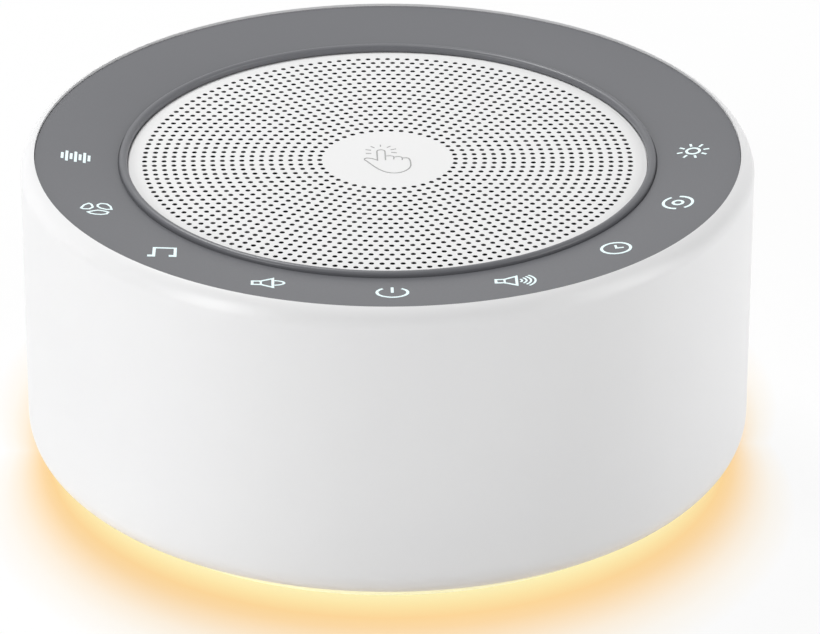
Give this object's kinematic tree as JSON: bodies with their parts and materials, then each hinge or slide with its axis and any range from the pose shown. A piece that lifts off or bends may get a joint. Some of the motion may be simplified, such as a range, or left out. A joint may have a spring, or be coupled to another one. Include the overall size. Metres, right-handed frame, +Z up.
{
  "type": "white noise sound machine",
  "caption": "Low round tabletop sound machine with a dished touch ring on top, a perforated speaker grille, a lit base ring and a rear power socket.",
  "frame": {"origin": "on the table under the centre of the drum, at the bottom of the feet", "axes": "+Z up along the drum's axis, -Y towards the power key, +Y towards the power socket"},
  "size_m": [0.112, 0.112, 0.0522],
  "materials": {
    "shell_white": "smooth satin moulded plastic",
    "ring_grey": "glossy grey panel",
    "grille_white": "perforated satin plastic",
    "diffuser_clear": "frosted light diffuser",
    "inner_black": "dark inner plastic",
    "inner_white": "white inner plastic",
    "foot_rubber": "soft rubber",
    "board_green": "solder mask",
    "steel": "zinc plated",
    "magnet_grey": "sintered ferrite",
    "copper": "enamelled copper",
    "cloth_black": "woven acoustic cloth",
    "cone_paper": "pressed paper",
    "foam_black": "soft foam",
    "led_white": "lamp package",
    "guide_clear": "clear light guide",
    "cable_grey": "cable sheath",
    "coil_brown": "coil former"
  },
  "bodies": {
    "enclosure": {"housing_shell": "shell_white", "light_diffuser": "diffuser_clear", "bottom_cover": "inner_white", "rubber_feet": "foot_rubber", "led_ring_board": "board_green", "led_board_screws": "steel", "light_leds": "led_white", "light_connector": "inner_white", "main_board": "board_green", "main_board_screws": "steel", "controller_chip": "inner_black", "amplifier_chip": "inner_black", "sound_memory_chip": "inner_black", "clock_crystal": "steel", "choke_coil": "magnet_grey", "filter_capacitors": "steel", "board_connectors": "inner_white", "power_jack_body": "inner_black", "power_jack_pin": "steel", "speaker_deck": "inner_white", "base_screws": "steel", "touch_board": "board_green", "icon_light_baffle": "inner_black", "icon_light_guides": "guide_clear", "icon_leds": "led_white", "touch_connector": "inner_white", "centre_touch_pad": "copper", "acoustic_cloth": "cloth_black", "touch_ring_panel": "ring_grey", "speaker_grille": "grille_white", "speaker_gasket": "foam_black", "speaker_basket": "steel", "speaker_screws": "steel", "speaker_terminals": "inner_black", "top_plate": "steel", "magnet": "magnet_grey", "pole_yoke": "steel", "speaker_surround": "foam_black", "speaker_spider": "coil_brown", "speaker_leads": "cable_grey", "touch_cable": "cable_grey", "light_cable": "cable_grey"},
    "cone_assembly": {"speaker_cone": "cone_paper", "dust_cap": "cone_paper", "voice_coil_former": "coil_brown", "voice_coil_winding": "copper"}
  },
  "joints": [
    {"name": "cone_travel", "type": "slide", "parent": "enclosure", "child": "cone_assembly", "axis": [0, 0, 1], "range_m": [-0.0015, 0.0015], "stiffness_N_per_m": 1000, "deforming": ["speaker_surround", "speaker_spider"]}
  ]
}
